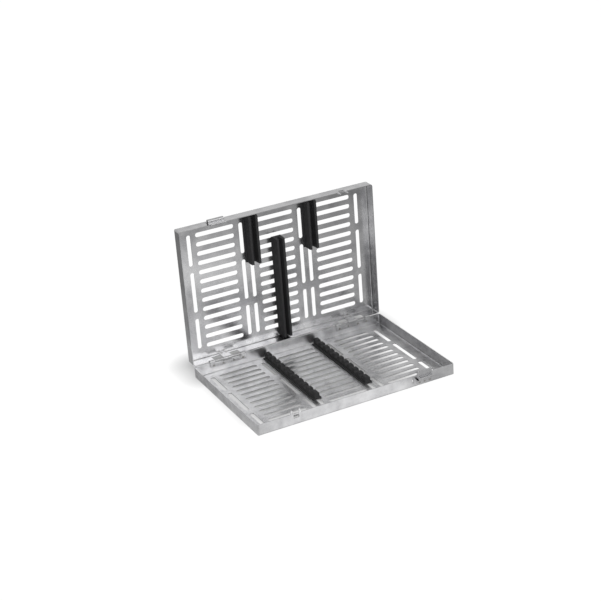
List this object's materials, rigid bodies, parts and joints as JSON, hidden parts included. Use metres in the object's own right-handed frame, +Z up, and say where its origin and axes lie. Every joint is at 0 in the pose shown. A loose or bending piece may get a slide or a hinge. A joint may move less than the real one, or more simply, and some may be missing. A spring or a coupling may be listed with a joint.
{
  "type": "instrument tray",
  "caption": "Hinged perforated steel tray for surgical instruments, standing open, with silicone comb rails, lid hold-down rails and snap latches.",
  "frame": {"origin": "bottom centre of the bounding box of the tray standing open", "axes": "+X along the hinge line to the right as seen from the front, +Y to the back, +Z up"},
  "size_m": [0.28, 0.2106, 0.2096],
  "materials": {
    "tray_steel": "electropolished stainless steel sheet with a fine grain",
    "hinge_steel": "satin stainless steel strip, rolled at the knuckles",
    "pin_steel": "drawn stainless steel wire",
    "latch_steel": "satin stainless spring steel",
    "silicone": "matt black silicone rubber"
  },
  "bodies": {
    "base": {"base_tray": "tray_steel", "comb_rail_left": "silicone", "comb_rail_right": "silicone", "hinge_leaf_base_left": "hinge_steel", "hinge_leaf_base_right": "hinge_steel", "hinge_pin_left": "pin_steel", "hinge_pin_right": "pin_steel", "catch_base": "latch_steel", "latch_foot_base": "latch_steel"},
    "lid": {"lid_tray": "tray_steel", "hold_down_left": "silicone", "hold_down_right": "silicone", "hold_down_centre": "silicone", "hinge_leaf_lid_left": "hinge_steel", "hinge_leaf_lid_right": "hinge_steel", "catch_lid": "latch_steel", "latch_foot_lid": "latch_steel"},
    "base_latch": {"latch_tongue_base": "latch_steel"},
    "lid_latch": {"latch_tongue_lid": "latch_steel"}
  },
  "joints": [
    {"name": "lid_hinge", "type": "hinge", "parent": "base", "child": "lid", "pos_m": [0.003, 0.08868, 0.01565], "axis": [1, 0, 0], "range_deg": [0, 90]},
    {"name": "base_latch_flex", "type": "hinge", "parent": "base", "child": "base_latch", "pos_m": [0.095, -0.10032, 0.0077], "axis": [1, 0, 0], "range_deg": [0, 8], "stiffness_Nm_per_rad": 0.4},
    {"name": "lid_latch_flex", "type": "hinge", "parent": "lid", "child": "lid_latch", "pos_m": [-0.087, 0.09663, 0.20465], "axis": [-1, 0, 0], "range_deg": [0, 8], "stiffness_Nm_per_rad": 0.4}
  ]
}
